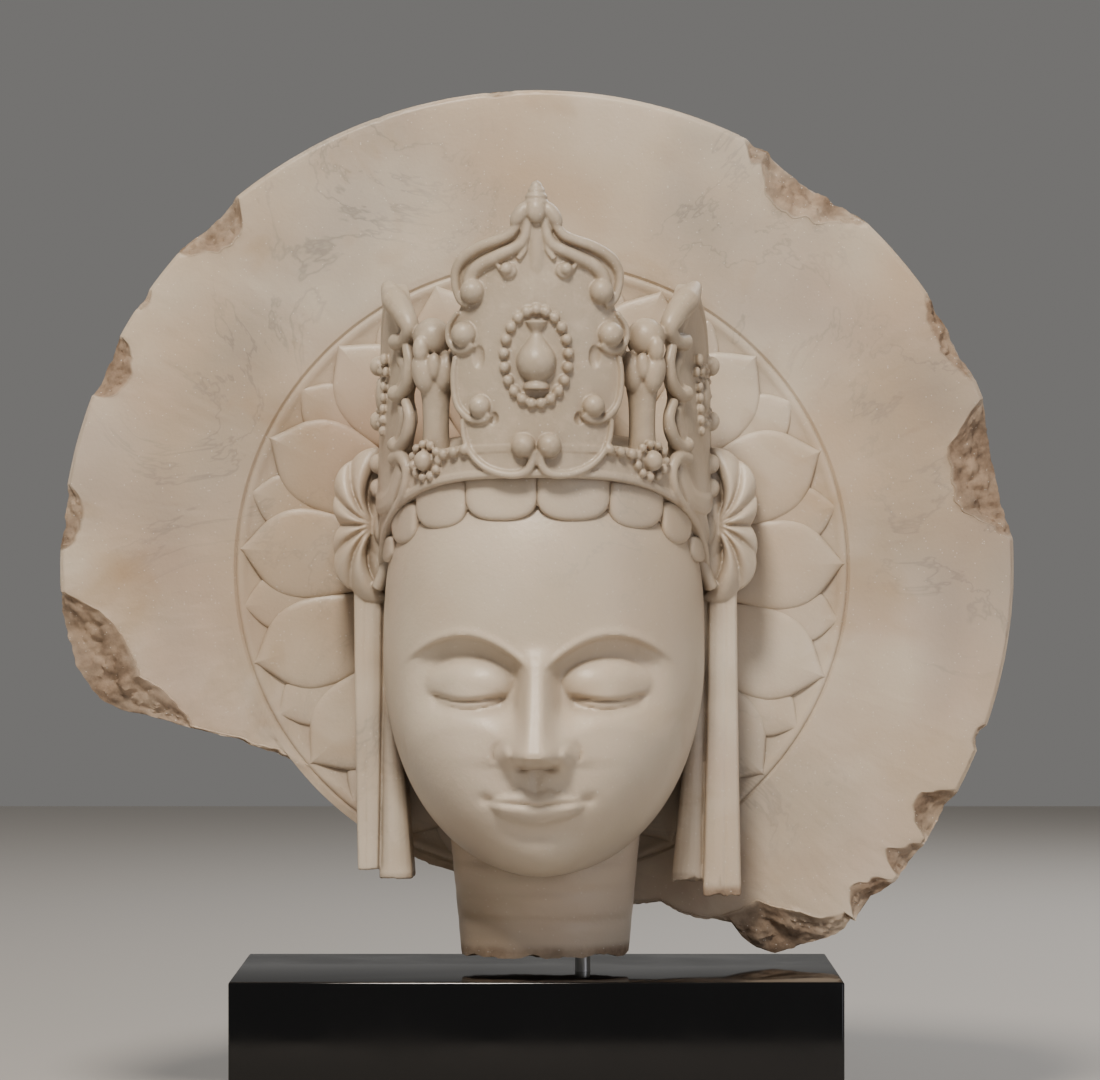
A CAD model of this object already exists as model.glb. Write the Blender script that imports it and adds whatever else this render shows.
# Looks of a marble bodhisattva head with crown, bows, ribbons and a broken lotus halo, on a rod in a block.
# The stone is free form: each form starts as a grid or a ball that an operator adds, and its points are then
# moved in code, as a carver works a block. Forms are given in the stone's own millimetres.

import math

import bpy
import numpy as np
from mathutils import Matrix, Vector, noise


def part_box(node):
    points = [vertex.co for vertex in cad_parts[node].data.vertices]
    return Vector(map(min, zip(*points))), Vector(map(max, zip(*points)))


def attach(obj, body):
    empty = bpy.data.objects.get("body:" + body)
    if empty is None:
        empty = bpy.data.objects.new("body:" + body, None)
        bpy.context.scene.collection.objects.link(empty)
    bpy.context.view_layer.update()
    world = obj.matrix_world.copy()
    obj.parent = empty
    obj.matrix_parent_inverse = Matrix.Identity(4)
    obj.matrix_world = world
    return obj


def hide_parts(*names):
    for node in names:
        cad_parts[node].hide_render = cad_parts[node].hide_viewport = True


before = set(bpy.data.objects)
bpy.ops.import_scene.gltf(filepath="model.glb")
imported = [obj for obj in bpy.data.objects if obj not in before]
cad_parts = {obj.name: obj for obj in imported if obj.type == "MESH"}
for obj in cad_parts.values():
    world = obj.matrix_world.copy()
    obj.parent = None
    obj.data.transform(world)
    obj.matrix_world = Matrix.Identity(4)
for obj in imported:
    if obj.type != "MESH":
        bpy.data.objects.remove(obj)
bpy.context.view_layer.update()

headLow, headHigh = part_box("bodhisattva_head")
blockLow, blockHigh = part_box("stand_block")
rodLow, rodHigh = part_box("stand_rod")

stance = {
    "haloRadius": 0.2385,
    "haloSetback": 0.108,  # from the block's front to the halo's front face
    "chinBelowHalo": 0.1502,  # from the halo's middle down to the chin
    "neckAboveBlock": 0.008,
    "headTurn": 0.042,  # millimetres aside for each one behind the crown's front
    "boxRise": 0.0003,  # the halo's top above the solid's thinned skin
    "stoneMillimetre": 0.001,
    "mergeDistance": 0.000002,
    "faceLimit": 196000,  # triangles in one piece
}
mm = stance["stoneMillimetre"]
haloFront = blockLow.y + stance["haloSetback"]
haloMiddle = headHigh.z + stance["boxRise"] - stance["haloRadius"]
chinHeight = haloMiddle - stance["chinBelowHalo"]
neckEnd = (blockHigh.z + stance["neckAboveBlock"] - chinHeight) / mm  # millimetres above the chin


# Small helpers

def ease(value, start, end):
    share = np.clip((value - start) / (end - start), 0, 1)
    return share * share * (3 - 2 * share)


def bell(value, middle, width):
    return np.exp(-(((value - middle) / width) ** 2))


def superReach(turn, power):  # radius of a rounded square of half width 1
    return (np.abs(np.sin(turn)) ** power + np.abs(np.cos(turn)) ** power) ** (-1 / power)


def onHalo(across, forward, up, zero=haloMiddle):  # millimetres from the halo's middle and before its face
    return np.stack(np.broadcast_arrays(across * mm, haloFront - forward * mm, zero + up * mm), axis=-1)


def onHead(across, forward, up):  # the same from the head's middle, and above the chin
    lean = (crown["middle"] + crown["halfDepth"] - forward) * stance["headTurn"]
    return onHalo(across + lean, forward, up, chinHeight)


def onCrown(around, up, out):  # degrees round the crown's oval from its front
    turn = np.radians(around)
    return onHead((crown["halfWidth"] + out) * np.sin(turn),
                  crown["middle"] + (crown["halfDepth"] + out) * np.cos(turn), up)


def onPlaque(across, up, out):  # on the front plate, which bends with the crown's oval
    inside = np.maximum(0, 1 - (across / crown["halfWidth"]) ** 2)
    return onHead(across, crown["middle"] + crown["halfDepth"] * np.sqrt(inside) + out, up)


def spline(points, share, closed=False):  # a smooth line through points, at shares from 0 to 1
    knots = np.array(points, float)
    spans = len(knots) if closed else len(knots) - 1
    at = np.clip(share, 0, 1) * spans
    span = np.minimum(np.floor(at), spans - 1).astype(int)
    t = (at - span)[..., None]

    def knot(k):
        return knots[k % len(knots)] if closed else knots[np.clip(k, 0, len(knots) - 1)]

    a, b, c, d = knot(span - 1), knot(span), knot(span + 1), knot(span + 2)
    return 0.5 * (2 * b + (c - a) * t + (2 * a - 5 * b + 4 * c - d) * t**2 + (3 * b - a - 3 * c + d) * t**3)


def roundSection(section, u):  # both measures of a closed section, at shares of the way round it
    measures = np.array(section + section[:1], float).T
    steps = np.linspace(0, 1, len(section) + 1)
    return np.interp(u, steps, measures[0]), np.interp(u, steps, measures[1])


def closedEnds(v, room=0.01):  # share of the way along a bar, and 0 at its ends, where it closes to a point
    return np.clip(v * (1 + 2 * room) - room, 0, 1), ((v > 0) & (v < 1)).astype(float)


def grain(points, size, octaves=3):  # uneven stone, between about -1 and 1, with lumps of a size in metres
    return np.array([noise.fractal(Vector(point), 0.8, 2.1, octaves, noise_basis="PERLIN_ORIGINAL")
                     for point in (points / size).tolist()])


def pointsOf(piece):
    points = np.empty(len(piece.data.vertices) * 3)
    piece.data.vertices.foreach_get("co", points)
    return points.reshape(-1, 3)


def setPoints(piece, points):
    piece.data.vertices.foreach_set("co", points.ravel())
    piece.data.update()


def select(*pieces):
    bpy.ops.object.select_all(action="DESELECT")
    for piece in pieces:
        piece.select_set(True)
    bpy.context.view_layer.objects.active = pieces[0]


def newest(name):  # the object that an operator has just added
    bpy.context.object.name = name
    return bpy.context.object


def closeUp(piece):  # joins the seam and the poles and turns the faces outwards
    select(piece)
    bpy.ops.object.mode_set(mode="EDIT")
    bpy.ops.mesh.select_all(action="SELECT")
    bpy.ops.mesh.remove_doubles(threshold=stance["mergeDistance"])
    bpy.ops.mesh.normals_make_consistent(inside=False)
    bpy.ops.object.mode_set(mode="OBJECT")


def shapedGrid(name, columns, rows, place):  # place turns shares across and up the grid into points
    bpy.ops.mesh.primitive_grid_add(x_subdivisions=columns, y_subdivisions=rows, size=1)
    piece = newest(name)
    at = pointsOf(piece) + 0.5
    setPoints(piece, place(at[:, 0], at[:, 1]))
    closeUp(piece)
    return piece


def egg(name, point, sizes, segments=16, rings=10, tilt=0):  # tilt in degrees, its top towards -X
    bpy.ops.mesh.primitive_uv_sphere_add(segments=segments, ring_count=rings, radius=1)
    piece = newest(name)
    across, back, up = (pointsOf(piece) * (np.array(sizes) * mm)).T
    cosine, sine = math.cos(math.radians(tilt)), math.sin(math.radians(tilt))
    tilted = np.stack([across * cosine - up * sine, back, across * sine + up * cosine], axis=-1)
    setPoints(piece, tilted + point)
    return piece


def strand(name, points, radii, sides, rows):  # a bar along points, with rounded ends
    ends, step = 1.5 / rows, 0.004

    def place(u, v):
        share = np.clip((v - ends) / (1 - 2 * ends), 0, 1)
        middle = spline(points, share)
        along = spline(points, np.minimum(share + step, 1)) - spline(points, np.maximum(share - step, 0))
        along /= np.linalg.norm(along, axis=1)[:, None]
        side = np.cross(along, np.array([0.0, -1.0, 0.0]))
        side /= np.linalg.norm(side, axis=1)[:, None]
        front = np.cross(side, along)
        radius = np.interp(share, *zip(*radii)) * mm
        end = np.minimum(np.minimum(v, 1 - v) / (2 * ends), 1)
        radius = radius * np.sqrt(np.maximum(0, 1 - (1 - end) ** 2))
        cosine, sine = np.cos(u * math.tau)[:, None], np.sin(u * math.tau)[:, None]
        return middle + (side * cosine + front * sine) * radius[:, None]

    return shapedGrid(name, sides, rows, place)


def pad(name, outline, middle, profile, place, columns, rows):
    # a raised form inside an outline: profile gives shares of the way out and heights, from crown to floor
    shares, heights = zip(*profile, (0, profile[-1][1]))
    steps = np.linspace(0, 1, len(shares))

    def placed(u, v):
        share, height = np.interp(v, steps, shares), np.interp(v, steps, heights)
        a, b = outline(u)
        return place(middle[0] + (a - middle[0]) * share, middle[1] + (b - middle[1]) * share, height)

    return shapedGrid(name, columns, rows, placed)


def turned(name, point, profile, sides, rows):  # profile gives radius and height, bottom to top
    def place(u, v):
        at = spline(profile, v)
        radius = np.maximum(at[:, 0], 0) * closedEnds(v)[1]
        turn = u * math.tau
        return point + np.stack([radius * np.cos(turn), radius * np.sin(turn), at[:, 1]], axis=-1) * mm

    return shapedGrid(name, sides, rows, place)


def apply(piece, kind, **settings):
    select(piece)
    modifier = piece.modifiers.new(kind.lower(), kind)
    for name, value in settings.items():
        setattr(modifier, name, value)
    bpy.ops.object.modifier_apply(modifier=modifier.name)


def called(name, piece):
    piece.name = name
    piece.data.name = name
    return piece


def joined(name, pieces):
    select(*pieces)
    bpy.ops.object.join()
    return called(name, pieces[0])


def unite(name, piece, forms):  # joins closed forms to a piece, with a sharp line where they meet
    group = bpy.data.collections.new(name)
    for form in forms:
        group.objects.link(form)
    apply(piece, "BOOLEAN", operation="UNION", solver="MANIFOLD", operand_type="COLLECTION", collection=group)
    for form in forms:
        bpy.data.objects.remove(form)
    bpy.data.collections.remove(group)
    return called(name, piece)


def oneSkin(piece, voxel, rounds):  # fuses overlapping forms into one carved surface
    apply(piece, "REMESH", mode="VOXEL", voxel_size=voxel * 1)
    apply(piece, "SMOOTH", factor=0.5, iterations=rounds)
    faces = len(piece.data.polygons) * 2
    if faces > stance["faceLimit"]:
        apply(piece, "DECIMATE", ratio=stance["faceLimit"] / faces)
    return piece


def finish(piece, body, replaced, angle):
    select(piece)
    bpy.ops.object.shade_smooth_by_angle(angle=math.radians(angle))
    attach(piece, body)
    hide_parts(replaced)
    print(f"{piece.name}: {sum(len(face.vertices) - 2 for face in piece.data.polygons)} triangles")


# Crown oval, shared by the crown, the hair and the head

crown = {
    "middle": 43,
    "halfWidth": 81,
    "halfDepth": 95,
    "skin": 0.00055,
    "bandReach": 118,
}


# Halo

halo = {
    "turnSteps": 1080,
    "whole": 238.5,
    "thickness": 28,
    "rimThickness": 20,
    "lotusShift": (2.5, -1),
    "groundDepth": 1.5,
    "ringLine": 153,
    "petalStep": 21.9,
    "firstPetal": 88.6,
    "petals": 16,
    # half a petal's outline, outward and sideways
    "petal": [(60, 0), (62, 12), (92, 17.6), (108, 21.6), (119, 22.8), (129, 21.4), (137, 16.8),
              (142.5, 10.8), (147, 5.2), (149.7, 2.1), (152, 0)],
    "backPetal": [(110, 0), (112, 6), (125, 9.6), (134, 12.2), (139, 12.4), (143, 9.4), (147, 4.8),
                  (150, 1.8), (152.5, 0)],
    # where the stone ends below and where its front face ends, right of and above the halo's middle
    "lostRim": [(-238, -12), (-236, -34), (-230, -51), (-220, -65), (-208, -72), (-192, -75), (-173, -80),
                (-150, -86), (-129, -93), (-114, -100), (-100, -111), (-89, -123), (-58, -146), (2, -161),
                (62, -168), (97.5, -178), (103, -186), (110, -191.5), (120, -195), (130, -192), (137, -187.5),
                (146, -184), (153.5, -181), (157.5, -176)],
    "lostFront": [(-237.5, -13), (-229, -17), (-219, -22), (-210, -30), (-203, -42), (-199, -55), (-189, -60),
                  (-179, -71), (-172, -79), (-129, -92), (-99, -110), (-57, -144), (2, -159), (96.5, -175),
                  (103, -171), (110, -166), (114, -168), (120, -170), (132.5, -173), (139.5, -175.5),
                  (149.5, -174.5), (154.5, -172)],
    # chips in the edge: angle, half width in degrees, loss of the front face and of the rim
    "chips": [(55, 9, 20, 4.5), (29, 6, 6, 1.5), (12, 8.5, 25, 4), (-21, 1.5, 4, 3), (-31.4, 3.4, 14, 1.5),
              (-38.2, 2.4, 12, 1), (-44.7, 3.2, 12, 3), (134, 5, 13, 2), (155, 4, 13, 2), (174, 4, 8, 1.5)],
}


def edgeNoise(angle, seed, size, turns=9):
    turn = np.radians(angle)
    places = np.stack([np.cos(turn) * turns, np.sin(turn) * turns, np.full_like(turn, seed * 0.11)], axis=-1)
    return np.array([noise.noise(Vector(place)) for place in places.tolist()]) * size


def polar(points):
    across, up = np.array(points, float).T
    return np.degrees(np.arctan2(up, across)) % 360, np.hypot(across, up)


def brokenEdge(angle):  # radius of the front face and of the rim, how deep the rim lies, how broken it is
    angle = angle % 360
    whole = halo["whole"]
    front, rim, broken = np.full_like(angle, whole - 1.5), np.full_like(angle, whole), np.zeros_like(angle)
    rimAngles, rimRadii = polar(halo["lostRim"])
    frontAngles, frontRadii = polar(halo["lostFront"])
    lost = (angle > rimAngles[0]) & (angle < rimAngles[-1])
    jagged = edgeNoise(angle, 5, 1.3, 42) + edgeNoise(angle, 9, 0.45, 150)
    lostRim = np.interp(angle, rimAngles, rimRadii) + edgeNoise(angle, 0, 2) + jagged * 0.5
    rim = np.where(lost, lostRim, rim)
    lostFront = np.interp(angle, frontAngles, frontRadii) + edgeNoise(angle, 40, 2) + jagged
    front = np.where(lost, np.minimum(lostFront, rim - 0.8), front)
    broken = np.where(lost, 1.0, broken)
    wander = edgeNoise(angle, 31, 0.6, 14) + edgeNoise(angle, 57, 0.25, 50)
    ragged = edgeNoise(angle, 20, 2.4) + jagged
    for middle, half, frontChip, rimChip in halo["chips"]:
        aside = ((angle - middle + 180) % 360 - 180) / half
        away = np.abs(aside + wander * (1 - aside * aside))
        cut = np.maximum(0, 1 - away * away) ** 0.8
        chipped = whole - 1.5 - frontChip * cut - ragged * np.minimum(cut * 2, 1)
        away = np.maximum(away, np.abs(aside))
        front = np.where(away < 1, np.minimum(front, chipped), front)
        rim = np.where(away < 1, np.minimum(rim, whole - rimChip * cut + jagged * 0.4 * cut), rim)
        broken = np.maximum(broken, ease(1.02 - away, 0, 0.12))
    nicks = np.maximum(0, edgeNoise(angle, 77, 1, 17) - 0.36) * 6  # small losses along the whole arris
    front -= nicks
    rim -= nicks * 0.35
    broken = np.maximum(broken, np.clip(nicks / 0.8, 0, 1) * 0.8)
    return front, rim, np.minimum(1.8 + (rim - front - 1.5) * 0.38, 11), broken


def ringGround(radius):  # the ground of the lotus, sunk a little, and the thin line cut round it
    line = halo["ringLine"]
    ground = -halo["groundDepth"] * (1 - ease(radius, 144, line - 1.2))
    return ground - 1.1 * bell(radius, line, 0.7) + 0.3 * bell(radius, line - 3.4, 1.8)


def haloPlate():
    turnSteps = halo["turnSteps"]
    angles = np.linspace(0, 360, turnSteps, endpoint=False)
    front, rim, deep, broken = brokenEdge(angles)
    thick, rimThick = halo["thickness"], halo["rimThickness"]
    rows = []  # radius, forward, share of the lotus's shift, how rough
    for radius in (0, 40, 90, 130, 144):
        rows.append((radius, -halo["groundDepth"], 1, 0))
    for radius in np.arange(147, 157.5, 0.65):
        rows.append((radius, ringGround(radius), 1, 0))
    for share in np.linspace(0.08, 1, 13) ** 0.8:
        radius = 158 + (front - 1.2 - 158) * share
        rows.append((radius, 0.9 * ease(radius, 200, 236) - 0.9, 1 - min(1, share * 1.6), 0.15))
    rows.append((front - 0.4, -0.12, 0, 0.2))
    for share in np.arange(1, 20) / 20:
        backward = -0.3 - (deep - 0.3) * share**0.85
        rows.append((front + (rim - front) * share, backward, 0, math.sin(math.pi * share)))
    for share in np.arange(6) / 6:
        rows.append((rim - 1.5 * share**3, -deep - (rimThick - deep) * share, 0, 0.5))
    for share in (np.arange(12) / 12) ** 1.5:
        backward = -rimThick - (thick - rimThick) * share**0.7
        rows.append((rim - 1.5 + (rim * 0.62 - rim + 1.5) * share, backward, 0, 0.2))
    for share, rough in ((0.62, 0.1), (0.3, 0), (0, 0)):
        rows.append((rim * share, -thick, 0, rough))
    radii, forwards = (np.stack([row[k] + 0 * angles for row in rows]) for k in (0, 1))
    shifts, roughs = (np.array([row[k] for row in rows]) for k in (2, 3))

    def place(u, v):
        row = np.rint(v * (len(rows) - 1)).astype(int)
        column = np.rint(u * turnSteps).astype(int) % turnSteps
        turn = column / turnSteps * math.tau
        radius, forward = radii[row, column], forwards[row, column]
        across = radius * np.cos(turn) + halo["lotusShift"][0] * shifts[row]
        up = radius * np.sin(turn) + halo["lotusShift"][1] * shifts[row]
        points = onHalo(across, forward, up)
        crumbled = roughs[row] * (0.12 + broken[column])
        moved = np.nonzero(crumbled > 0.02)[0]
        push = grain(points[moved], 0.011, 4) * 2.6 + grain(points[moved] + 1, 0.0035, 2) * 0.9
        push *= crumbled[moved] * mm
        points[moved, 0] += push * np.cos(turn[moved]) * 0.6
        points[moved, 2] += push * np.sin(turn[moved]) * 0.6
        points[moved, 1] -= push * 0.9
        return points

    return shapedGrid("haloPlate", turnSteps, len(rows) - 1, place)


def petalForm(name, turn, widths, heights, columns, rows):
    def outline(u):  # up one side to the tip, and down the other
        line = spline(widths, 1 - np.abs(1 - 2 * u))
        return line[:, 0], np.maximum(line[:, 1], 0) * np.sign(0.5 - u)

    def place(outward, sideways, forward):
        across = outward * math.cos(turn) - sideways * math.sin(turn)
        up = outward * math.sin(turn) + sideways * math.cos(turn)
        return onHalo(halo["lotusShift"][0] + across, forward, halo["lotusShift"][1] + up)

    middle = (widths[0][0] * 0.35 + widths[-1][0] * 0.65, 0)
    return pad(name, outline, middle, heights, place, columns, rows)


def carveHalo():
    plate = haloPlate()
    petals = []
    front = [(0, 2.4), (0.35, 2.3), (0.65, 2.0), (0.83, 1.6), (0.93, 1.1), (0.975, 0.5), (0.995, -0.4),
             (1, -1.5), (1, -4)]
    behind = [(0, 0.5), (0.5, 0.35), (0.8, 0.1), (0.93, -0.25), (0.99, -0.9), (1, -1.6), (1, -4)]
    for k in range(halo["petals"]):
        turn = math.radians(halo["firstPetal"] + (k - halo["petals"] // 2) * halo["petalStep"])
        petals.append(petalForm(f"petal{k}", turn, halo["petal"], front, 72, 12))
        between = turn + math.radians(halo["petalStep"] / 2)
        petals.append(petalForm(f"backPetal{k}", between, halo["backPetal"], behind, 40, 8))
    return unite("lotusHalo", plate, petals)


print("Halo")
haloPiece = carveHalo()


# Head, hair and neck

face = {
    "columns": 272,
    "rows": 220,
    "widest": 108,
    "below": 108,
    "above": 100,
    "halfWidth": 78.5,
    "halfDepth": 88,
    "backDepth": 60,
    "hairline": 173,
    "eyeApart": 33,
    "eyeHeight": 95.5,
    "slitHeight": 89.6,
    "noseBase": 57,
    "mouthHeight": 38.4,
    "mouthHalf": 23.5,
}


def bandBottom(around):
    return 193 - 47 * (1 - np.cos(np.radians(around))) ** 1.6


def hairline(around):
    return face["hairline"] - 28 * (1 - np.cos(np.radians(around))) ** 1.25


def noseRelief(side, up):
    ridge = 2.5 + 21.5 * (np.maximum(0, 113 - up) / 49) ** 1.15
    ridge = np.minimum(ridge, 24.5 - 1.2 * ((up - 66) / 9) ** 2 * (up < 66))
    ridge = ridge * ease(up, 54.5, 61.5) ** 0.75 * (1 - ease(up, 104, 117))
    half = 6.6 + 4.6 * ease(up, 100, 66)
    body = ridge / (1 + (side / half) ** 3.4)
    wing = 13 * bell(side, 12.4, 4.9) * bell(up, 62.5, 6) ** 0.8
    crease = 1.9 * bell(np.hypot(side - 12.6, (up - 62) * 0.95), 8, 1.1)
    crease *= ease(up, 57, 61) * (1 - ease(up, 64, 70)) * ease(side, 8, 13)
    nostril = 3.0 * bell(side, 7.4, 2.6) * bell(up, 56.2, 1.8)
    return np.maximum(body, wing) + 0.15 * np.minimum(body, wing) - crease - nostril


def lipRelief(side, up):
    half = face["mouthHalf"]
    share = np.minimum(1, side / half)
    line = face["mouthHeight"] + 1.6 * share**2.2 - 0.9 * bell(side, 0, 5)
    top = line + 8.0 * (1 - share**1.8) - 1.6 * bell(side, 0, 3.6) + 0.01
    bottom = line - 9.8 * np.sqrt(np.maximum(0, 1 - share**2.5)) - 0.01
    fade = 1 - ease(side, half - 7, half + 1.5)
    upper = np.clip((up - line) / (top - line), 0, 1)
    lower = np.clip((line - up) / (line - bottom), 0, 1)
    above = ease(up, line - 0.9, line + 0.9)
    upperLip = (4.4 * (1 - upper**2) ** 0.8 + 0.5 * bell(upper, 0.93, 0.08)) * fade * above
    lowerLip = 5.4 * np.maximum(0, 1 - lower**2.6) ** 0.75 * fade * (1 - above)
    lowerLip *= 0.86 + 0.14 * bell(side, 8, 6)
    parting = 2.2 * bell(up, line, 1.5) * (1 - ease(side, half - 3, half + 3.5))
    corner = 1.6 * bell(side, half + 1.5, 3.2) * bell(up, line + 0.6, 2.8)
    return upperLip + lowerLip - parting - corner


def faceRelief(across, up):  # millimetres forward of the plain oval head
    side = np.abs(across)
    arch = np.clip((side - 5) / 62, 0, 1)
    brow = 103 + 15 * np.sin(math.pi * arch) ** 0.9
    below = brow - up
    deep = 9.2 * ease(side, 2.5, 12) * (1 - ease(side, 44, 69))
    socket = deep * (0.62 * ease(below, -0.6, 1.8) + 0.38 * ease(below, 0, 9))
    socket *= 1 - ease(below, 22, 44)
    ledge = 0.9 * bell(below, -1.6, 2.2) * ease(side, 4, 12) * (1 - ease(side, 52, 68))
    apart = side - face["eyeApart"]
    lid = 1 - (apart / 21.5) ** 2 - ((up - face["eyeHeight"]) / 12.4) ** 2
    eyeball = 8.6 * np.maximum(0, lid) ** 0.85
    slit = face["slitHeight"] - 1.7 * bell(apart, 1, 11) + 0.9 * ease(apart, 8, 18)
    along = 1 - ease(np.abs(apart), 15, 19.5)
    underLid = 2.3 * ease(slit - up, -0.4, 0.9) * (1 - ease(slit - up, 4.5, 9)) * along
    opening = 1.4 * bell(up, slit - 0.4, 1.2) * (1 - ease(np.abs(apart), 15.5, 19.5))
    lowerLid = 0.7 * bell(slit - up, 4.2, 2.2) * along
    muzzle = 4.6 * bell(side, 0, 24) * bell(up, 38, 21)
    chin = 6 * bell(side, 0, 17) * bell(up, 9, 12)
    fold = 2.4 * bell(side, 0, 15) * bell(up, 24, 4.6)
    cheek = 4 * bell(side, 42, 24) * bell(up, 62, 28)
    groove = 1.3 * bell(side, 0, 2.6) * bell(up, 50, 5)
    forehead = 3 * bell(side, 0, 45) * bell(up, 150, 28)
    return (eyeball - socket + ledge - underLid - opening + lowerLid + muzzle + chin - fold + cheek - groove
            + forehead + noseRelief(side, up) * (up > 50) * (up < 118)
            + lipRelief(side, up) * (side < face["mouthHalf"] + 8) * (up > 22) * (up < 54))


def headForm():
    def place(u, v):
        lean = 2 * u - 1
        turn = math.pi * np.sign(lean) * np.abs(lean) ** 1.35
        rise = np.interp(v, [0, 0.12, 0.86, 1], [-1, -0.95, 0.68, 1])
        rise = np.where(v < 0.12, -1 + 0.05 * (v / 0.12) ** 2, rise)
        power = np.where(rise < 0, 2.1, 3.0)
        up = face["widest"] + rise * np.where(rise < 0, face["below"], face["above"])
        halfWidth = face["halfWidth"] * np.maximum(0, 1 - np.abs(rise) ** power) ** (1 / power)
        halfDepth = face["halfDepth"] * np.maximum(0, 1 - np.abs(rise) ** 4) ** 0.25
        halfDepth = np.where(halfWidth > 0, halfDepth, 0)
        reach, cosine = superReach(turn, 2.3), np.cos(turn)
        halfDepth = np.where(cosine < 0, halfDepth * face["backDepth"] / face["halfDepth"], halfDepth)
        across, forward = halfWidth * np.sin(turn) * reach, halfDepth * cosine * reach
        relief = faceRelief(across, up) * ease(forward / face["halfDepth"], 0.1, 0.55)
        forward = forward + np.where(forward > 0, relief, 0)
        return onHead(across, 45 + forward, up)

    return shapedGrid("face", face["columns"], face["rows"], place)


def superoval(name, middle, sizes, power, columns=64, rows=40, relief=None):
    def place(u, v):
        turn, tilt = u * math.tau, (v - 0.5) * math.pi
        rise = np.sin(tilt)
        share = np.maximum(0, 1 - np.abs(rise) ** power) ** (1 / power)
        reach = superReach(turn, power) * share
        if relief:
            reach = reach * (1 + relief(turn, rise))
        return onHead(middle[0] + sizes[0] * np.sin(turn) * reach,
                      middle[1] + sizes[1] * np.cos(turn) * reach, middle[2] + sizes[2] * rise)

    return shapedGrid(name, columns, rows, place)


def neckForm():  # a plain neck with three soft folds, broken off rough below
    def place(u, v):
        share = np.clip(v * 1.25, 0, 1)
        turn = u * math.tau
        inward = np.clip(1 - (v - 0.8) / 0.2, 0, 1)
        fold = sum(bell(share, at, 0.035) for at in (0.36, 0.56, 0.76)) * ease(np.cos(turn), -0.2, 0.6)
        halfWidth, halfDepth = (48 - 7 * share - 0.9 * fold) * inward, (36 - 3 * share - 1.1 * fold) * inward
        up = 34 + (neckEnd - 34) * share + 1.5 * (1 - inward**2)
        points = onHead(halfWidth * np.sin(turn), 40 + halfDepth * np.cos(turn), up)
        crumb = (grain(points, 0.022, 4) * 3.4 + 1.2) * ease(share, 0.9, 1)
        crumb += grain(points, 0.006, 3) * 0.8 * ease(share, 0.93, 1)
        points[:, 2] += np.maximum(crumb, 0) * mm
        return points

    return shapedGrid("neck", 124, 60, place)


def hairDepth(around):  # how far inside the crown's oval the hair below the band lies
    return -3.4 - 3.8 * bell(around, 0, 40)


def fringe():  # the even ground under the lappets of hair
    def place(u, v):
        out, share = roundSection([(-16, 0), (-0.6, 0), (-0.6, 1), (-16, 1)], u)  # and share of the height
        along, end = closedEnds(v)
        around = -87 + 174 * along
        low, high = hairline(around) + 7, bandBottom(around) + 4
        up = low + (high - low) * (0.5 + (share - 0.5) * end)
        return onCrown(around, up, hairDepth(around) - 8 + (out + 8) * end)

    return shapedGrid("fringe", 24, 100, place)


def hairScallops():
    edges = (0, 27, 50, 68, 86)
    profile = [(0, 2.2), (0.5, 2.15), (0.75, 2), (0.88, 1.65), (0.95, 1), (0.985, 0.2), (1, -1.2), (1, -3),
               (0.9, -16)]
    yield fringe()
    for side in (-1, 1):
        for k, (start, end) in enumerate(zip(edges, edges[1:])):
            middle, half = (start + end) / 2, (end - start) / 2
            top, bottom = float(bandBottom(middle)) + 4, float(hairline(middle))

            def outline(u):
                sine, cosine = np.sin(u * math.tau), np.cos(u * math.tau)
                reach = superReach(u * math.tau, np.where(sine > 0, 9, 2.5))
                return middle + half * 1.02 * cosine * reach, bottom + (top - bottom) * (1 + sine * reach) / 2

            def place(around, up, out):
                return onCrown(side * around, up, out + hairDepth(around))

            yield pad(f"scallop{k}", outline, (middle, (top + bottom) / 2), profile, place, 64, 22)


def hairLines(turn, rise):  # fine strands combed upwards
    return 0.016 * np.cos(turn * 46) * bell(rise, 0, 0.8)


print("Head")
headPiece = joined("faceAndHair", [
    headForm(), superoval("hairCap", (0, 56, 194), (66, 70, 22), 3),
    superoval("hairBehind", (0, 24, 122), (74, 42, 88), 3, 230, 30, hairLines),
    superoval("topknot", (0, 52, 236), (33, 62, 44), 2.3, 230, 26, hairLines), neckForm(), *hairScallops()])


# Crown

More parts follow.
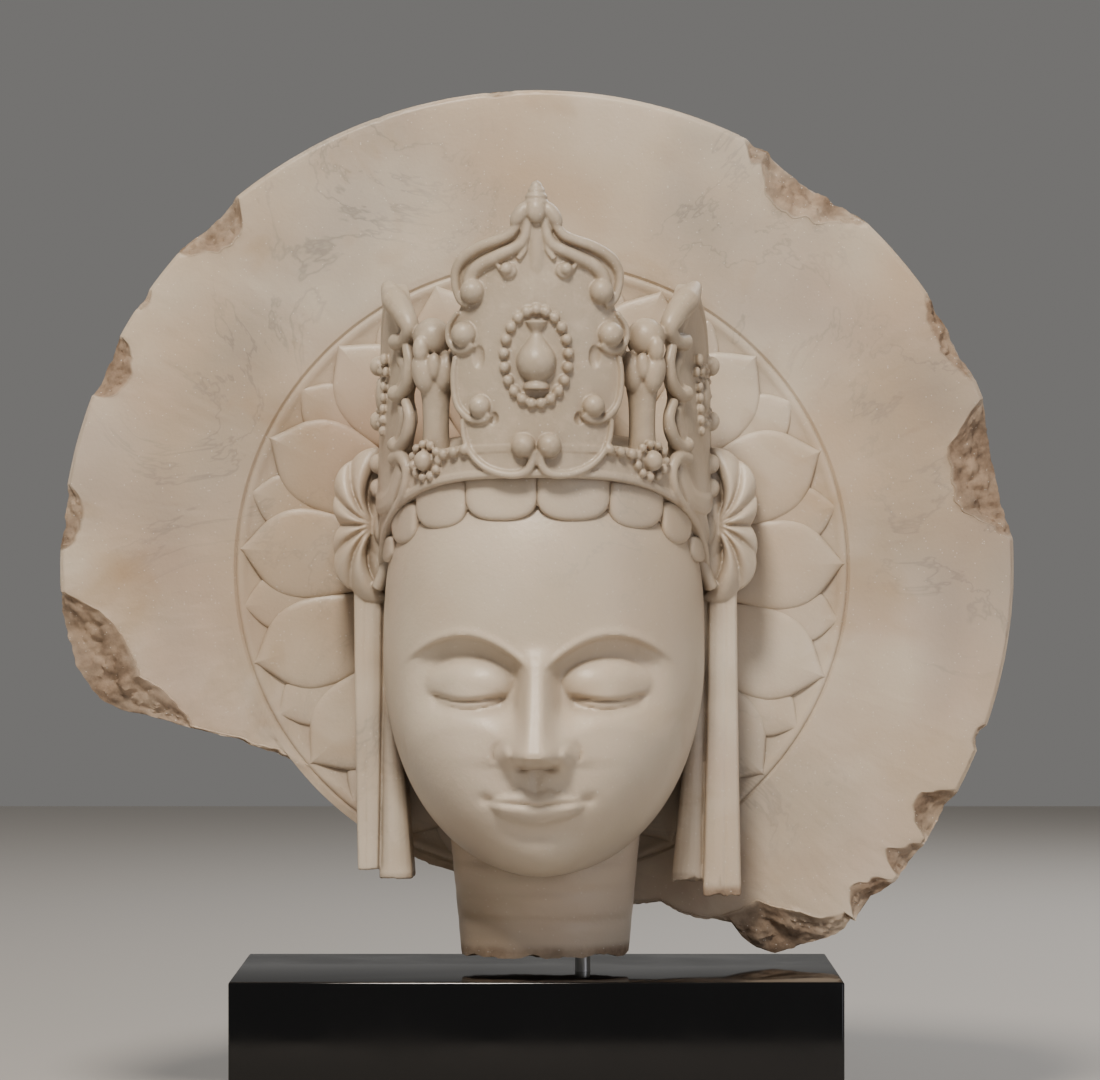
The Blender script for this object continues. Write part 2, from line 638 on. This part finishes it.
plaque = {
    # right half of the plate's outline, from the cusp below to the foot of the stem
    "outline": [(0, 198), (5, 194.5), (13, 193.5), (25, 198), (33, 208), (35, 218), (39, 228), (40, 240),
                (39, 249), (42, 255), (42.5, 263), (39, 270), (36.4, 275), (38, 280), (38.4, 287), (35, 295),
                (26, 300.5), (13, 305.5), (6.6, 312), (4, 316)],
    # raised edges: path, bar radii along it, ball at its end
    "scrolls": [
        ([(6, 317), (8.6, 313.5), (13.8, 307.3), (27, 302.3), (35, 297), (38.6, 290.5), (38.4, 283.5),
           (36, 277.2), (32, 275)],
         [(0, 2.0), (0.5, 3.0), (0.7, 2.3), (1, 2.0)], None),
        ([(3.6, 316), (4.4, 311), (7.4, 303.6), (18, 298), (27.6, 293), (31.6, 287), (30.8, 281.6)],
         [(0, 1.9), (0.5, 3.1), (1, 3.6)], (30.6, 281.4, 5.8)),
        ([(37.6, 272), (42, 265), (41.8, 258.2), (38, 253.9), (33.4, 254), (30.4, 256.8)],
         [(0, 1.2), (0.5, 1.9), (1, 2.4)], (34.8, 261.2, 6.1)),
        ([(38.8, 251), (39.9, 243), (39.4, 233), (37, 226), (31.5, 221), (25.4, 220.6), (22.2, 223.4)],
         [(0, 1.3), (0.6, 1.8), (1, 2.3)], (27, 227, 5.3)),
        ([(35.4, 221), (34.4, 212), (30.6, 203.6), (23, 197.2), (13, 194.4), (5.4, 195.6), (2.2, 200),
          (1.6, 206)], [(0, 1.3), (0.6, 1.9), (1, 2.4)], (6.2, 208.2, 5.7)),
        ([(20, 297), (17.4, 292.4), (13.6, 288.6), (10.8, 290.4), (12.4, 293.6)],
         [(0, 1.0), (0.6, 1.5), (1, 1.9)], (14, 291.8, 3.1)),
        ([(4.2, 309), (5.2, 301), (8.6, 296.4)], [(0, 0.9), (1, 1.4)], None)],
    "sunk": [(28, 250.5, 3.4, 6.2), (20.4, 221.2, 2.6, 3.6)],  # small hollows: across, up, half sizes
    "beads": 21,
    "beadRing": (250.3, 15.3, 22.2),  # height, half width and half height
    "beadRadius": 2.65,
    # profiles of the vase and the bud on top: radius and height
    "vase": [(0, -15.4), (5.6, -15.2), (6.2, -14), (5.8, -12.6), (4.4, -11.2), (5.4, -10.2), (8.2, -7),
             (9.4, -2.6), (8.4, 2), (5, 7), (2.7, 10.4), (2.5, 12), (4.4, 15), (5.4, 16.6), (4.6, 17.4),
             (0, 17.6)],
    "bud": [(0, -5), (3.6, -3), (4.8, 0), (5, 3), (6, 5.6), (5.2, 7.4), (5.4, 8.8), (4.1, 10.6), (4.1, 11.8),
            (2.7, 13.6), (2.5, 14.6), (1, 16), (0, 16.4)],
    # petals under the bud: across, up, out, half sizes and tilt
    "budPetals": [(0, 319, 3, (4.5, 3.6, 5.8), 0), (-7.6, 317.4, 0.8, (3.7, 3.8, 7), -34),
                  (7.6, 317.4, 0.8, (3.7, 3.8, 7), 34)],
}


def closedOutline(points):
    def outline(u):
        return spline(points, u, closed=True).T

    return outline


def frontPlaque():
    half = plaque["outline"]
    whole = half + [(-across, up) for across, up in half[:0:-1]]
    profile = [(0, 0), (0.5, 0), (0.85, 0), (0.96, -0.1), (0.99, -0.8), (1, -2), (1, -11)]
    plate = pad("plaquePlate", closedOutline(whole), (0, 250), profile, onPlaque, 300, 40)
    for across, up, halfWidth, halfHeight in plaque["sunk"]:
        for side in (-1, 1):
            cutter = egg("hollow", onPlaque(side * across, up, 1.2), (halfWidth, 3.2, halfHeight), 32, 20)
            apply(plate, "BOOLEAN", operation="DIFFERENCE", solver="MANIFOLD", object=cutter)
            bpy.data.objects.remove(cutter)
    yield plate
    for side in (-1, 1):
        for k, (points, radii, ball) in enumerate(plaque["scrolls"]):
            across, up = np.array(points, float).T
            yield strand(f"scroll{k}", onPlaque(side * across, up, 0.7), radii, 14, 70)
            if ball:
                across, up, radius = ball
                yield egg(f"scrollBall{k}", onPlaque(side * across, up, 1.6), [radius] * 3, 28, 18)
    height, halfAcross, halfUp = plaque["beadRing"]
    for k in range(plaque["beads"]):
        turn = math.tau * (k + 0.5) / plaque["beads"]
        point = onPlaque(halfAcross * math.sin(turn), height - halfUp * math.cos(turn), 1.0)
        yield egg("ovalBead", point, [plaque["beadRadius"]] * 3)
    yield egg("ovalGround", onPlaque(0, height, -2.6), (13.5, 2.8, 20), 32, 20)
    yield turned("vase", onPlaque(0, 250, -0.6), plaque["vase"], 40, 90)
    stem = onPlaque(np.zeros(4), np.array([284, 294, 304, 317]), np.array([-7, -4.6, -3, -2.4]))
    yield strand("stem", stem, [(0, 5.5), (0.33, 5.6), (0.66, 4.7), (1, 4)], 24, 50)
    yield turned("finial", onPlaque(0, 317.4, -1), plaque["bud"], 24, 60)
    for across, up, out, sizes, tilt in plaque["budPetals"]:
        yield egg("finialPetal", onPlaque(across, up, out), sizes, 28, 18, tilt)


def crownBand():
    section = [(-20, 0), (-0.8, 0), (0.4, 1.2), (0.4, 3.4), (-0.4, 4.2), (-0.4, 11.6), (0.4, 12.6),
               (0.4, 15.6), (-1, 17), (-20, 17)]  # out and up

    def place(u, v):
        out, up = roundSection(section, u)
        share, end = closedEnds(v)
        degrees = crown["bandReach"] * (2 * share - 1)
        return onCrown(degrees, bandBottom(degrees) + 8.5 + (up - 8.5) * end, -10 + (out + 10) * end)

    return shapedGrid("crownBand", 90, 260, place)


def crownPosts():
    column = [(0, -5), (7, -4.8), (6.8, 2), (6.3, 12), (6.6, 24), (7.4, 34), (0, 36)]
    # dome, bud and drooping leaves: across, forward, up, half sizes, tilt, steps round and up
    rounds = ((51, 108, 260, (9.3, 9.2, 10), 0, 36, 24), (56, 115, 254.6, (4.1, 3.8, 6.6), 0, 24, 16),
              (44.4, 113, 244, (5.6, 5.8, 10), 10, 28, 20), (54.8, 112.4, 243.4, (5.8, 5.8, 10.4), -11, 28, 20),
              (49, 101, 244, (6, 6, 9), 0, 28, 20), (49.6, 116.4, 246.6, (3.6, 3, 6.4), 0, 28, 20))
    for side in (-1, 1):
        yield turned("column", onHead(side * 49.3, 108, 205), column, 36, 40)
        for across, forward, up, sizes, tilt, segments, rings in rounds:
            yield egg("leaf", onHead(side * across, forward, up), sizes, segments, rings, tilt * side)


def rosettes():
    for side in (-1, 1):
        around, up = side * 41.5, 201.5
        yield egg("rosetteStone", onCrown(around, up, 1.2), (5, 4.4, 5), 28, 18)
        for k in range(11):
            turn = math.tau * k / 11
            point = onCrown(around + 6.2 * math.cos(turn), up + 7.8 * math.sin(turn), 0.8)
            yield egg("rosetteBead", point, [2.25] * 3)
        for k in range(3):
            yield egg("bandBead", onCrown(side * (33 - 4.1 * k), 204.5 + k, 1), [2.7] * 3)


temple = {
    # degrees round the crown and height of the side plates' outline
    "outline": [(64, 178), (78, 176), (88, 180), (95, 196), (95, 212), (93, 232), (91, 250), (87, 265),
                (79, 278), (71, 287), (66, 286), (61, 277), (55, 266), (57, 254), (53, 246), (57, 233),
                (54, 222), (57, 208), (55, 196), (58, 186)],
    # front edges as scrolls: path, and bar radii along it
    "edges": [(((67.5, 287), (61, 280), (54, 272.5), (50, 265), (54, 259.5), (60, 259)),
               ((0, 2.8), (0.22, 6.6), (0.45, 5.4), (0.8, 3.2), (1, 4.4))),
              (((52, 257), (50, 248.5), (51, 240), (56, 233.5), (60.5, 234.5)),
               ((0, 2.4), (0.4, 3.5), (0.8, 3.2), (1, 4.3))),
              (((53, 231), (50, 222), (52, 213), (57, 208), (61, 210)),
               ((0, 2.2), (0.4, 3.4), (0.8, 3.1), (1, 4.2))),
              (((61, 202.5), (55, 203.5), (51.5, 197), (53, 188), (58.5, 180)),
               ((0, 3.8), (0.35, 3), (0.7, 2.6), (1, 1.8)))],
    "studs": [(89, 249), (89, 222), (87, 201), (88, 189)],
    "bellFlower": [(68.5, 251, (2.2, 2.4, 3.2)), (70.5, 246, (2, 2.2, 2.8)), (66.5, 245, (1.8, 2, 2.6))],
}


def sidePlaques():
    outline = closedOutline(temple["outline"])
    profile = [(0, 0.4), (0.5, 0.4), (0.82, 0.4), (0.87, 1.3), (0.95, 1.3), (0.99, 0.4), (1, -1.4), (1, -8)]
    for side in (-1, 1):

        def place(around, up, out):
            return onCrown(side * around, up, out + (up - 200) * -0.03)

        yield pad("templePlate", outline, (77, 236), profile, place, 220, 46)
        for points, radii in temple["edges"]:
            around, up = np.array(points, float).T
            yield strand("templeScroll", onCrown(side * around, up, 0), radii, 18, 60)
        for around, up in temple["studs"]:
            yield egg("stud", onCrown(side * around, up, 0.8), (4.2, 4.6, 4.9), 24, 16)
        for k in range(12):
            turn = math.tau * k / 12
            point = place(78 + 6.4 * math.sin(turn), 234 + 14 * math.cos(turn), 0.9)
            yield egg("templeBead", point, [1.9] * 3)
        yield egg("templeStone", place(78, 234, 0.2), (3.4, 6.5, 9), 28, 20)
        for k in range(5):
            yield egg("edgeBead", onCrown(side * (69 + 0.5 * k), 238 - 5.4 * k, 1), (1.9, 2.2, 2.5))
        for around, up, sizes in temple["bellFlower"]:
            yield egg("bellFlower", onCrown(side * around, up, 1), sizes)


print("Crown")
crownForms = [*frontPlaque(), crownBand(), *crownPosts(), *rosettes(), *sidePlaques()]
crownPiece = oneSkin(joined("crown", crownForms), crown["skin"], 2)


# Bows and ribbons

cloth = {
    "bowMiddle": (82, 171),  # right of the head's middle and above the chin
    "pleats": 6,
    "skin": 0.0006,
    # the knot's loops: how far aside, and radius
    "loops": [(0, 3.0), (4.4, 2.2)],
    # a strip's section: share of its half width from the inner side, and how far it stands forward
    "flat": [(-1, -1), (-1, -0.3), (-0.96, 0.2), (-0.85, 0.55), (-0.4, 0.85), (0.06, 0.75), (0.12, 0.55),
             (0.17, 0.0), (0.22, 0.5), (0.28, 0.65), (0.8, 0.45), (0.94, 0.1), (1, -0.4), (1, -1)],
    "round": [(-1, -1), (-1, -0.6), (-0.92, 0.1), (-0.7, 0.8), (-0.35, 1.3), (0, 1.5), (0.4, 1.3),
              (0.75, 0.7), (0.95, 0), (1, -0.6), (1, -1)],
    # top middle, top half width, top height, then the same at the bottom, and how rough it ends
    "ribbons": {-1: [(87.3, 7, 142, 87, 5, 2, 0.3), (77, 3.5, 140, 73.5, 8.2, -2.5, 0.3)],
                1: [(87.3, 7, 142, 87, 9.4, -11, 1.6), (76.5, 3.5, 140, 70, 8, -4, 1.2)]},
}


def bowForm(side):
    middleAcross, middleUp = cloth["bowMiddle"]

    def place(u, v):  # v runs from the knot in front, out to the edge, and in again behind
        share = np.interp(v, [0, 0.72, 0.86, 1], [0, 1, 1.0, 0])
        lean = 2 * u - 1
        turn = np.radians(101) * lean * (0.4 + 0.6 * share)
        valley = 1 - np.abs(np.sin(math.pi * (lean + 1) * cloth["pleats"] / 2)) ** 0.8
        reach = 20.5 + 17 * np.abs(np.sin(turn)) ** 1.5 - 1.6 * valley
        swell = np.sin(math.pi * np.minimum(1, 0.16 + 0.7 * share)) ** 0.8
        height = 33 + 15 * swell - (0.8 + 3.4 * swell) * valley * ease(share, 0.12, 0.5)
        height = np.where(v > 0.72, np.interp(v, [0.72, 0.86, 1], [1, 0, 0]) * (height - 12) + 12, height)
        height = np.where((u == 0) | (u == 1), 12, height)  # the fan's two ends are closed
        return onHead(side * (middleAcross + reach * share * np.cos(turn)), height,
                      middleUp + reach * share * np.sin(turn) * 1.02)

    return shapedGrid("bow", 280, 70, place)


def fanBack(side):  # closes the inner side of the fan, towards the head
    middleAcross, middleUp = cloth["bowMiddle"]
    for inward, forward, up, sizes in ((2, 29, 0, (9.5, 18.5, 34.5)), (1.5, 33, -17, (8.5, 12, 17.5)),
                                       (1.5, 33, 17, (8.5, 12, 17.5))):
        point = onHead(side * (middleAcross - inward), forward, middleUp + up)
        yield egg("bowBack", point, sizes, 32, 24)


def bowForms():
    for side in (-1, 1):
        yield bowForm(side)
        yield from fanBack(side)
        yield egg("knot", onHead(side * 79, 45, 169), (5, 6.5, 9), 28, 20)
        for shift, radius in cloth["loops"]:
            across = np.array([79, 76.4, 75.4, 78, 82]) + shift * np.array([1, 0.6, 0.5, 0.2, 0])
            forward = np.array([44, 49, 50, 48, 44]) - shift * 0.5
            path = onHead(side * across, forward, np.array([184, 174, 163, 150, 140]))
            yield strand("loop", path, [(0, radius * 0.6), (0.5, radius), (1, radius * 1.1)], 16, 50)


def ribbonForm(side, index, top, topHalf, start, low, lowHalf, end, rough):
    section = cloth["round" if index else "flat"]  # the outer strip is flat, with one cut line

    def place(u, v):
        share = np.clip((v - 0.02) / 0.9, 0, 1)
        closing = np.clip(np.minimum(v / 0.02, (1 - v) / 0.08), 0, 1)
        across, out = roundSection(section, u)
        middle = top + (low - top) * share**1.3
        half = (topHalf + (lowHalf - topHalf) * share**1.5) * closing
        up = start + (end - start) * share
        near, far = 38 - 3 * index + 4 * share, 20 - 6 * index
        forward = np.where(out < -0.9, far, near + out * 2.0)
        forward = (near + far) / 2 + (forward - (near + far) / 2) * closing
        points = onHead(side * (middle + across * half), forward, up - 0.6 * closing * (v > 0.9))
        crumb = grain(points, 0.009, 4) * mm * 2.4 * rough * ease(v, 0.88, 0.93)
        points[:, 2] += np.maximum(crumb, 0) * 1.2
        return points

    return shapedGrid("ribbon", 160, 130, place)


def ribbonForms():
    for side, pair in cloth["ribbons"].items():
        for index, strip in enumerate(pair):
            yield ribbonForm(side, index, *strip)

        def web(u, v):  # stone left standing behind the ribbons, back to the halo
            across, forward = roundSection([(-7, -4), (-7, 26), (3, 26), (3, -4)], u)
            share, end = closedEnds(v, 0.02)
            middle = 85 - 2 * share
            return onHead(side * (middle + across * end), 11 + (forward - 11) * end, 150 - 128 * share)

        yield shapedGrid("ribbonWeb", 40, 50, web)


print("Bows and ribbons")
clothPiece = oneSkin(joined("bowsAndRibbons", [*bowForms(), *ribbonForms()]), cloth["skin"], 1)


# Stand

stand = {"edge": 0.0012, "edgeSteps": 3, "holeRoom": 0.0004, "holeSides": 48}


def standBlock():
    bpy.ops.mesh.primitive_cube_add(size=1, location=(blockHigh + blockLow) / 2)
    piece = newest("displayBlock")
    piece.scale = blockHigh - blockLow
    bpy.ops.object.transform_apply(location=True, rotation=True, scale=True)
    bpy.ops.object.mode_set(mode="EDIT")
    bpy.ops.mesh.select_all(action="SELECT")
    bpy.ops.mesh.bevel(offset=stand["edge"], segments=stand["edgeSteps"], affect="EDGES")
    bpy.ops.object.mode_set(mode="OBJECT")
    rodMiddle = (rodLow + rodHigh) / 2
    radius = (rodHigh.x - rodLow.x) / 2 + stand["holeRoom"]
    depth = blockHigh.z - rodLow.z + stand["holeRoom"]
    bpy.ops.mesh.primitive_cylinder_add(vertices=stand["holeSides"], radius=radius, depth=depth * 2,
                                        location=(rodMiddle.x, rodMiddle.y, blockHigh.z))
    hole = newest("hole")
    apply(piece, "BOOLEAN", operation="DIFFERENCE", solver="EXACT", object=hole)
    bpy.data.objects.remove(hole)
    return piece


print("Stand")
blockPiece = standBlock()


# Materials

marble = {
    "colours": {"cream": "#C7B59E", "pale": "#D9CCBA", "warm": "#B99D7D", "rose": "#B99F8D",
                "grey": "#8B8782", "vein": "#6F6C69", "stain": "#A5875F", "dust": "#E6DCCB",
                "handled": "#DDD0BC", "crystal": "#FFFDF6", "dirt": "#463320", "grime": "#93846F",
                "brokenLight": "#A08973", "brokenDark": "#685341"},
    "polish": (0.34, 0.5),
    "crystalsInMetre": 1100,
    "dirtReach": 0.013,  # how near the stone has to be for dirt to stay
    # noise in the stone: size in metres, detail, roughness, distortion and shift; places and greys of its mask
    "lumps": {
        "clouds": (0.045, 3, 0.55, 0, (0, 0, 0), ((0.35, 0), (0.66, 1))),
        "warmth": (0.07, 2, 0.55, 0, (3, 1, 2), ((0.48, 0), (0.74, 1))),
        "rosy": (0.055, 2, 0.55, 0, (8, 3, 6), ((0.5, 0), (0.72, 1))),
        "patches": (0.08, 3, 0.5, 0.4, (1, 8, 4), ((0.5, 0), (0.7, 1))),
        "veins": (0.06, 5, 0.62, 2.2, (5, 2, 7), ((0.482, 0), (0.5, 1), (0.518, 0))),
        "stains": (0.028, 3, 0.6, 0.6, (9, 4, 1), ((0.58, 0), (0.8, 1))),
        "dusting": (0.01, 2, 0.55, 0, (6, 1, 9), ((0.3, 0), (0.6, 1))),
        "grimy": (0.005, 3, 0.65, 0, (3, 9, 5), ((0.3, 0.5), (0.5, 1))),
        "dirtLumps": (0.012, 2, 0.55, 0, (2, 6, 3), ((0.3, 0.5), (0.7, 1))),
        "crumbs": (0.007, 4, 0.7, 0, (4, 4, 4), ((0.35, 0), (0.62, 1))),
        "faded": (0.016, 3, 0.55, 0, (5, 5, 9), ((0.34, 0.45), (0.6, 1))),
        "sheen": (0.02, 2, 0.55, 0, (0, 0, 0), ()),
        "coarse": (0.004, 3, 0.7, 0, (7, 7, 7), ()),
        "worn": (0.003, 2, 0.6, 0, (2, 2, 5), ()),
        "fine": (0.0012, 2, 0.6, 0, (0, 0, 0), ()),
    },
    # what lies over the stone in turn: colour, how much of it, and the masks that limit it
    "layers": [("warm", 0.8, ("warmth",)), ("rose", 0.6, ("rosy",)), ("grey", 0.5, ("patches",)),
               ("vein", 0.5, ("veins", "patches")), ("stain", 0.55, ("stains",)),
               ("dust", 0.4, ("upward", "dusting")), ("handled", 0.4, ("proud",)),
               ("grime", 0.44, ("proud", "crownward", "grimy")), ("dirt", 0.92, ("dirty", "dirtLumps")),
               ("fresh", 0.93, ("broken", "faded")), ("crystal", 0.45, ("sparkle",))],
}


def linear(code):  # an sRGB hex value as linear red, green and blue
    shares = [int(code[k:k + 2], 16) / 255 for k in (1, 3, 5)]
    return [share / 12.92 if share <= 0.04045 else ((share + 0.055) / 1.055) ** 2.4 for share in shares] + [1]


def setInputs(node, inputs):  # sets a value and links a socket
    for name, value in inputs.items():
        if isinstance(value, bpy.types.NodeSocket):
            node.id_data.links.new(value, node.inputs[name])
        else:
            node.inputs[name].default_value = value


def addNode(tree, kind, inputs, output=0, stops=(), **settings):  # adds a node and gives one of its outputs
    node = tree.nodes.new("ShaderNode" + kind)
    for name, value in settings.items():
        setattr(node, name, value)
    setInputs(node, inputs)
    for k, (place, grey) in enumerate(stops):
        mark = node.color_ramp.elements[k] if k < 2 else node.color_ramp.elements.new(place)
        mark.position = place
        mark.color = (grey, grey, grey, 1)
    return node.outputs[output]


def newMaterial(name):
    made = bpy.data.materials.new(name)
    made.use_nodes = True
    return made, made.node_tree, made.node_tree.nodes["Principled BSDF"]


def carvedMarble():  # white marble, carved and rubbed smooth: soft sheen, warm depth, dirt where cut deep
    made, tree, shader = newMaterial("carved marble, rubbed smooth")
    colours = {name: linear(code) for name, code in marble["colours"].items()}
    place = addNode(tree, "TexCoord", {}, "Object")
    masks = {}
    for name, (size, detail, rough, twist, shift, stops) in marble["lumps"].items():
        moved = addNode(tree, "Mapping", {"Vector": place, "Location": shift})
        masks[name] = addNode(tree, "TexNoise", {"Vector": moved, "Scale": 0.5 / size, "Detail": detail,
                                                 "Roughness": rough, "Distortion": twist}, "Fac")
        if stops:
            masks[name] = addNode(tree, "ValToRGB", {"Fac": masks[name]}, "Color", stops)

    normal = addNode(tree, "NewGeometry", {}, "Normal")
    upward = addNode(tree, "SeparateXYZ", {"Vector": normal}, "Z")
    masks["upward"] = addNode(tree, "ValToRGB", {"Fac": upward}, "Color", ((0.15, 0), (0.95, 1)))
    back = addNode(tree, "SeparateXYZ", {"Vector": place}, "Y")
    height = addNode(tree, "SeparateXYZ", {"Vector": place}, "Z")
    # what stands out is paler from handling
    masks["proud"] = addNode(tree, "MapRange", {"Value": back, "From Min": haloFront - 0.02,
                                                "From Max": haloFront - 0.1})
    masks["crownward"] = addNode(tree, "MapRange", {"Value": height, "From Min": chinHeight + 0.188,
                                                    "From Max": chinHeight + 0.204})
    hollow = addNode(tree, "AmbientOcclusion", {"Distance": marble["dirtReach"]}, "AO", samples=1)
    masks["dirty"] = addNode(tree, "ValToRGB", {"Fac": hollow}, "Color", ((0.34, 1), (0.94, 0)))
    masks["broken"] = addNode(tree, "Attribute", {}, "Fac", attribute_name="broken")

    # crystals in the stone that catch the light
    away = addNode(tree, "TexVoronoi", {"Vector": place, "Scale": marble["crystalsInMetre"]}, "Distance")
    picked = addNode(tree, "SeparateColor", {"Color": away.node.outputs["Color"]})
    lit = addNode(tree, "Math", {0: picked, 1: 0.975}, operation="GREATER_THAN")
    near = addNode(tree, "Math", {0: away, 1: 0.32}, operation="LESS_THAN")
    masks["sparkle"] = addNode(tree, "Math", {0: lit, 1: near}, operation="MULTIPLY")

    def blended(share, under, over):
        return addNode(tree, "Mix", {0: share, 6: under, 7: over}, 2, data_type="RGBA")

    colours["fresh"] = blended(masks["crumbs"], colours["brokenDark"], colours["brokenLight"])
    colour = blended(masks["clouds"], colours["cream"], colours["pale"])
    for name, share, limits in marble["layers"]:
        for limit in limits:
            share = addNode(tree, "Math", {0: share, 1: masks[limit]}, operation="MULTIPLY")
        colour = blended(share, colour, colours[name])

    rough = addNode(tree, "MapRange", {"Value": masks["sheen"], "To Min": marble["polish"][0],
                                       "To Max": marble["polish"][1]})
    relief = addNode(tree, "Math", {0: masks["coarse"], 1: masks["broken"]}, operation="MULTIPLY")
    relief = addNode(tree, "Math", {0: relief, 1: 3.5, 2: masks["fine"]}, operation="MULTIPLY_ADD")
    relief = addNode(tree, "Math", {0: masks["worn"], 1: 0.8, 2: relief}, operation="MULTIPLY_ADD")
    rough = addNode(tree, "Math", {0: masks["broken"], 1: 0.45, 2: rough}, operation="MULTIPLY_ADD")
    rough = addNode(tree, "Math", {0: masks["sparkle"], 1: -0.2, 2: rough}, operation="MULTIPLY_ADD",
                    use_clamp=True)
    bump = addNode(tree, "Bump", {"Height": relief, "Strength": 0.4, "Distance": 0.0004}, "Normal")
    shader.subsurface_method = "BURLEY"
    setInputs(shader, {"Base Color": colour, "Roughness": rough, "Normal": bump, "IOR": 1.5,
                       "Subsurface Weight": 0.16, "Subsurface Radius": (1.0, 0.72, 0.45),
                       "Subsurface Scale": 0.005})
    return made


def polishedAcrylic():  # black acrylic, sawn and flame polished: near black, mirror smooth, lit edges
    made, tree, shader = newMaterial("black acrylic, polished")
    place = addNode(tree, "TexCoord", {}, "Object")
    smears = addNode(tree, "TexNoise", {"Vector": place, "Scale": 22, "Detail": 5}, "Fac")
    rough = addNode(tree, "MapRange", {"Value": smears, "From Min": 0.3, "From Max": 0.75, "To Min": 0.06,
                                       "To Max": 0.16})
    setInputs(shader, {"Base Color": linear("#060607"), "Roughness": rough, "IOR": 1.49})
    return made


def drawnSteel():  # bright drawn steel rod: grey metal with fine lines along it
    made, tree, shader = newMaterial("steel rod, drawn")
    place = addNode(tree, "TexCoord", {}, "Object")
    stretched = addNode(tree, "Mapping", {"Vector": place, "Scale": (1, 1, 0.03)})
    lines = addNode(tree, "TexNoise", {"Vector": stretched, "Scale": 3000, "Detail": 3}, "Fac")
    colour = addNode(tree, "Mix", {0: lines, 6: linear("#8E8E8C"), 7: linear("#B4B3B0")}, 2, data_type="RGBA")
    rough = addNode(tree, "MapRange", {"Value": lines, "To Min": 0.26, "To Max": 0.42})
    setInputs(shader, {"Base Color": colour, "Metallic": 1, "Roughness": rough})
    return made


def paint(piece, made):
    piece.data.materials.clear()
    piece.data.materials.append(made)


def markBroken(piece):  # how far each point of a piece lies in a break, for the stone's finish
    points = pointsOf(piece) / mm
    across, belowChin = points[:, 0], chinHeight / mm - points[:, 2]
    inBreak = np.zeros_like(across)
    if piece is haloPiece:
        angle, radius = polar(np.stack([across, points[:, 2] - haloMiddle / mm], axis=-1))
        forward = haloFront / mm - points[:, 1]
        front, rim, deep, broken = brokenEdge(angle)
        inBreak = ease(radius - front, -1.6, 0.8) * broken * np.where(rim - front > 3, 1, 0.5)
        inBreak *= (forward < 2) & (forward > -halo["rimThickness"] - 2)
    if piece is headPiece:
        inBreak = ease(belowChin, -neckEnd - 8, -neckEnd - 3)
    if piece is clothPiece:
        torn, worn = ease(belowChin, 4, 9), 0.5 * ease(belowChin, -1, 1)
        inBreak = np.where(across > 78, torn, worn)
    layer = piece.data.attributes.new("broken", "FLOAT", "POINT")
    layer.data.foreach_set("value", np.clip(inBreak, 0, 1).astype(np.float32))


stone = carvedMarble()
for piece, angle in ((haloPiece, 35), (headPiece, 50), (crownPiece, 60), (clothPiece, 60)):
    markBroken(piece)
    paint(piece, stone)
    finish(piece, "root", "bodhisattva_head", angle)
paint(blockPiece, polishedAcrylic())
finish(blockPiece, "root", "stand_block", 40)
paint(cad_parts["stand_rod"], drawnSteel())


# Floor, lights and camera

studio = {
    "floorSize": 6.0,
    "floorColour": "#B9B5B0",
    "airColour": "#C9C7C4",
    "airStrength": 0.3,
    # name, place, size, watts and colour
    "lights": [("key", (-0.25, -1.5, 2.0), 0.5, 60, "#FFF4E6"), ("fill", (1.6, -1.9, 0.7), 1.6, 9, "#F4F5FF"),
               ("back", (0.9, 1.6, 1.5), 1.2, 22, "#FFFFFF")],
    "camera": (0.0065, -2.5, 0.2915),  # across, back from the halo's front, height
    "frameWidth": 0.55,  # what the photograph shows across at the halo's front
    "sensor": 36,
}


def paleFloor():
    bpy.ops.mesh.primitive_plane_add(size=studio["floorSize"], location=(0, 0, blockLow.z))
    floor = newest("floor")
    made, tree, shader = newMaterial("pale floor, matt")
    setInputs(shader, {"Base Color": linear(studio["floorColour"]), "Roughness": 0.7})
    paint(floor, made)


def softLight(name, place, size, power, colour):
    bpy.ops.object.light_add(type="AREA", location=place)
    light = newest(name)
    light.data.shape = "DISK"
    light.data.size = size
    light.data.energy = power
    light.data.color = linear(colour)[:3]
    target = Vector((0, 0, haloMiddle))
    light.rotation_euler = (target - Vector(place)).to_track_quat("-Z", "Y").to_euler()


def setCamera():
    across, back, height = studio["camera"]
    bpy.ops.object.camera_add(location=(across, haloFront + back, height), rotation=(math.pi / 2, 0, 0))
    camera = newest("camera")
    camera.data.sensor_width = studio["sensor"]
    camera.data.lens = studio["sensor"] * -back / studio["frameWidth"]
    bpy.context.scene.camera = camera


print("Studio")
paleFloor()
for name, place, size, power, colour in studio["lights"]:
    softLight(name, place, size, power, colour)
world = bpy.data.worlds.new("studio")
world.use_nodes = True
setInputs(world.node_tree.nodes["Background"], {"Color": linear(studio["airColour"]),
                                                "Strength": studio["airStrength"]})
bpy.context.scene.world = world
setCamera()
